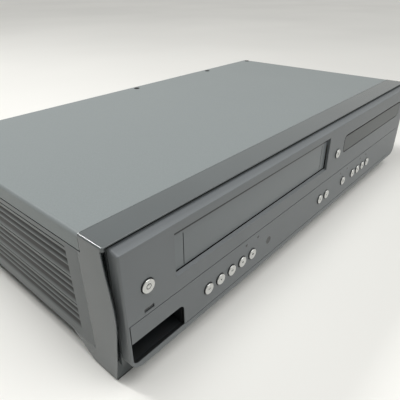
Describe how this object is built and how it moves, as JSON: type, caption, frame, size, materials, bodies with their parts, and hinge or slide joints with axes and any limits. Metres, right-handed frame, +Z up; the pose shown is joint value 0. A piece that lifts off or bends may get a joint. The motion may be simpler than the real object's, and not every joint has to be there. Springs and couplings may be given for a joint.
{
  "type": "dvd vcr combo player",
  "caption": "low wide box with a cassette flap, a sliding disc tray, round push buttons, louvred sides and bowed front cheeks that end in feet",
  "frame": {"origin": "on the floor at the middle of the width and depth", "axes": "+X to the right along the face, +Y to the rear, +Z up"},
  "size_m": [0.435, 0.2422, 0.0996],
  "materials": {
    "lid_paint": "satin grey enamel on steel",
    "face_plastic": "dark grey moulded plastic, fine matt texture",
    "frame_plastic": "mid grey moulded plastic",
    "side_plastic": "dark grey ribbed moulding",
    "chrome_cap": "satin chrome plated plastic cap",
    "dark_lens": "dark tinted window",
    "door_plastic": "grey semi gloss moulding",
    "zinc_sheet": "zinc plated sheet steel",
    "spring_steel": "spring wire",
    "foot_rubber": "black foot pads",
    "socket_plastic": "sockets with coloured collars",
    "circuit_board": "resin bonded paper board",
    "black_screw": "black zinc screws",
    "component_black": "electronic parts",
    "drum_metal": "machined aluminium drum",
    "reel_plastic": "white acetal",
    "capstan_steel": "ground steel",
    "roller_rubber": "pinch roller rubber",
    "brass_post": "brass base with polished post",
    "loader_plastic": "black moulded plastic",
    "tray_plastic": "dark grey moulded tray",
    "gear_plastic": "white acetal gear",
    "tuner_steel": "tin plated steel can",
    "gland_plastic": "black nylon strain relief"
  },
  "bodies": {
    "chassis": {"top_cover": "lid_paint", "side_panel_left": "side_plastic", "side_panel_right": "side_plastic", "front_frame": "frame_plastic", "face_panel": "face_plastic", "face_lenses": "dark_lens", "door_spring": "spring_steel", "key_board": "circuit_board", "front_av_jacks": "socket_plastic", "chassis_pan": "zinc_sheet", "foot_pads": "foot_rubber", "rear_panel": "zinc_sheet", "rear_av_jacks": "socket_plastic", "tuner_module": "tuner_steel", "cord_gland": "gland_plastic", "cover_screws": "black_screw", "chassis_screws": "black_screw", "main_board": "circuit_board", "power_board": "circuit_board", "power_components": "component_black", "deck_plate": "zinc_sheet", "lower_drum": "drum_metal", "loading_motor": "zinc_sheet", "carriage_frame": "zinc_sheet", "loader_frame": "loader_plastic", "clamp_bridge": "zinc_sheet"},
    "power_key": {"power_button": "chrome_cap"},
    "tray_key": {"tray_button": "chrome_cap"},
    "source_key": {"source_button": "chrome_cap"},
    "tape_rewind_key": {"tape_rewind_button": "chrome_cap"},
    "tape_play_key": {"tape_play_button": "chrome_cap"},
    "tape_forward_key": {"tape_forward_button": "chrome_cap"},
    "tape_stop_key": {"tape_stop_button": "chrome_cap"},
    "record_key": {"record_button": "chrome_cap"},
    "channel_down_key": {"channel_down_button": "chrome_cap"},
    "channel_up_key": {"channel_up_button": "chrome_cap"},
    "disc_back_key": {"disc_back_button": "chrome_cap"},
    "disc_forward_key": {"disc_forward_button": "chrome_cap"},
    "disc_stop_key": {"disc_stop_button": "chrome_cap"},
    "disc_play_key": {"disc_play_button": "chrome_cap"},
    "door": {"cassette_door": "door_plastic"},
    "carriage": {"carriage_slider": "zinc_sheet"},
    "holder": {"cassette_holder": "zinc_sheet"},
    "supply": {"supply_reel": "reel_plastic"},
    "take_up": {"take_up_reel": "reel_plastic"},
    "head_drum": {"upper_drum": "drum_metal"},
    "capstan_wheel": {"capstan": "capstan_steel"},
    "pinch_lever": {"pinch_arm": "zinc_sheet"},
    "pinch_wheel": {"pinch_roller": "roller_rubber"},
    "guide_left": {"guide_post_left": "brass_post"},
    "guide_right": {"guide_post_right": "brass_post"},
    "cam_gear": {"loading_gear": "gear_plastic"},
    "tray": {"disc_tray": "tray_plastic", "tray_front": "face_plastic"},
    "tray_pinion": {"tray_gear": "gear_plastic"},
    "traverse": {"traverse_frame": "loader_plastic"},
    "turntable": {"spindle": "loader_plastic"},
    "sled": {"pickup_sled": "drum_metal"},
    "sled_screw": {"lead_screw": "capstan_steel"},
    "clamp_disc": {"clamper": "loader_plastic"}
  },
  "joints": [
    {"name": "power_press", "type": "slide", "parent": "chassis", "child": "power_key", "axis": [0, 1, 0], "range_m": [0, 0.0008], "stiffness_N_per_m": 150},
    {"name": "tray_press", "type": "slide", "parent": "chassis", "child": "tray_key", "axis": [0, 1, 0], "range_m": [0, 0.0008], "stiffness_N_per_m": 150},
    {"name": "source_press", "type": "slide", "parent": "chassis", "child": "source_key", "axis": [0, 1, 0], "range_m": [0, 0.0008], "stiffness_N_per_m": 150},
    {"name": "tape_rewind_press", "type": "slide", "parent": "chassis", "child": "tape_rewind_key", "axis": [0, 1, 0], "range_m": [0, 0.0008], "stiffness_N_per_m": 150},
    {"name": "tape_play_press", "type": "slide", "parent": "chassis", "child": "tape_play_key", "axis": [0, 1, 0], "range_m": [0, 0.0008], "stiffness_N_per_m": 150},
    {"name": "tape_forward_press", "type": "slide", "parent": "chassis", "child": "tape_forward_key", "axis": [0, 1, 0], "range_m": [0, 0.0008], "stiffness_N_per_m": 150},
    {"name": "tape_stop_press", "type": "slide", "parent": "chassis", "child": "tape_stop_key", "axis": [0, 1, 0], "range_m": [0, 0.0008], "stiffness_N_per_m": 150},
    {"name": "record_press", "type": "slide", "parent": "chassis", "child": "record_key", "axis": [0, 1, 0], "range_m": [0, 0.0008], "stiffness_N_per_m": 150},
    {"name": "channel_down_press", "type": "slide", "parent": "chassis", "child": "channel_down_key", "axis": [0, 1, 0], "range_m": [0, 0.0008], "stiffness_N_per_m": 150},
    {"name": "channel_up_press", "type": "slide", "parent": "chassis", "child": "channel_up_key", "axis": [0, 1, 0], "range_m": [0, 0.0008], "stiffness_N_per_m": 150},
    {"name": "disc_back_press", "type": "slide", "parent": "chassis", "child": "disc_back_key", "axis": [0, 1, 0], "range_m": [0, 0.0008], "stiffness_N_per_m": 150},
    {"name": "disc_forward_press", "type": "slide", "parent": "chassis", "child": "disc_forward_key", "axis": [0, 1, 0], "range_m": [0, 0.0008], "stiffness_N_per_m": 150},
    {"name": "disc_stop_press", "type": "slide", "parent": "chassis", "child": "disc_stop_key", "axis": [0, 1, 0], "range_m": [0, 0.0008], "stiffness_N_per_m": 150},
    {"name": "disc_play_press", "type": "slide", "parent": "chassis", "child": "disc_play_key", "axis": [0, 1, 0], "range_m": [0, 0.0008], "stiffness_N_per_m": 150},
    {"name": "tray_slide", "type": "slide", "parent": "chassis", "child": "tray", "axis": [0, -1, 0], "range_m": [0, 0.14]},
    {"name": "door_swing", "type": "hinge", "parent": "chassis", "child": "door", "pos_m": [-0.081, -0.1163, 0.0865], "axis": [1, 0, 0], "range_deg": [0, 80], "stiffness_Nm_per_rad": 0.004, "springref_deg": -17.19},
    {"name": "carriage_travel", "type": "slide", "parent": "chassis", "child": "carriage", "axis": [0, 1, 0], "range_m": [0, 0.033]},
    {"name": "holder_drop", "type": "slide", "parent": "carriage", "child": "holder", "axis": [0, 0, -1], "range_m": [0, 0.02]},
    {"name": "traverse_lift", "type": "hinge", "parent": "chassis", "child": "traverse", "pos_m": [0.1205, 0.0644, 0.054], "axis": [-1, 0, 0], "range_deg": [0, 4]},
    {"name": "pinch_swing", "type": "hinge", "parent": "chassis", "child": "pinch_lever", "pos_m": [-0.011, 0.0264, 0.046], "axis": [0, 0, 1], "range_deg": [0, 25], "stiffness_Nm_per_rad": 0.004},
    {"name": "guide_left_travel", "type": "slide", "parent": "chassis", "child": "guide_left", "axis": [-0.4648, 0.8854, 0], "range_m": [0, 0.045]},
    {"name": "guide_right_travel", "type": "slide", "parent": "chassis", "child": "guide_right", "axis": [0.4648, 0.8854, 0], "range_m": [0, 0.045]},
    {"name": "cam_turn", "type": "hinge", "parent": "chassis", "child": "cam_gear", "pos_m": [-0.019, 0.0644, 0.039], "axis": [0, 0, 1], "range_deg": [0, 185]},
    {"name": "sled_travel", "type": "slide", "parent": "traverse", "child": "sled", "axis": [0, 1, 0], "range_m": [0, 0.035]},
    {"name": "screw_turn", "type": "hinge", "parent": "traverse", "child": "sled_screw", "pos_m": [0.1485, 0, 0.058], "axis": [0, 1, 0], "range_deg": [0, 2101]},
    {"name": "pinion_turn", "type": "hinge", "parent": "chassis", "child": "tray_pinion", "pos_m": [0.0705, -0.0906, 0.067], "axis": [0, 0, 1], "range_deg": [0, 669]},
    {"name": "supply_turn", "type": "hinge", "parent": "chassis", "child": "supply", "pos_m": [-0.127, -0.0316, 0.04], "axis": [0, 0, 1], "continuous": true},
    {"name": "take_up_turn", "type": "hinge", "parent": "chassis", "child": "take_up", "pos_m": [-0.035, -0.0316, 0.04], "axis": [0, 0, 1], "continuous": true},
    {"name": "drum_turn", "type": "hinge", "parent": "chassis", "child": "head_drum", "pos_m": [-0.081, 0.0474, 0.04], "axis": [0, 0.0872, 0.9962], "continuous": true},
    {"name": "capstan_turn", "type": "hinge", "parent": "chassis", "child": "capstan_wheel", "pos_m": [-0.031, 0.0104, 0.04], "axis": [0, 0, 1], "continuous": true},
    {"name": "pinch_roll", "type": "hinge", "parent": "pinch_lever", "child": "pinch_wheel", "pos_m": [-0.031, 0.0264, 0.054], "axis": [0, 0, 1], "continuous": true},
    {"name": "turntable_turn", "type": "hinge", "parent": "traverse", "child": "turntable", "pos_m": [0.1205, -0.0436, 0.06], "axis": [0, 0, 1], "continuous": true},
    {"name": "clamp_turn", "type": "hinge", "parent": "chassis", "child": "clamp_disc", "pos_m": [0.1205, -0.0436, 0.081], "axis": [0, 0, 1], "continuous": true}
  ],
  "couplings": [
    {"joint": "guide_right_travel", "follows": "guide_left_travel", "ratio": 1},
    {"joint": "cam_turn", "follows": "guide_left_travel", "rad_per_m": 71.429},
    {"joint": "screw_turn", "follows": "sled_travel", "rad_per_m": 1047.2},
    {"joint": "pinion_turn", "follows": "tray_slide", "rad_per_m": 83.333}
  ]
}
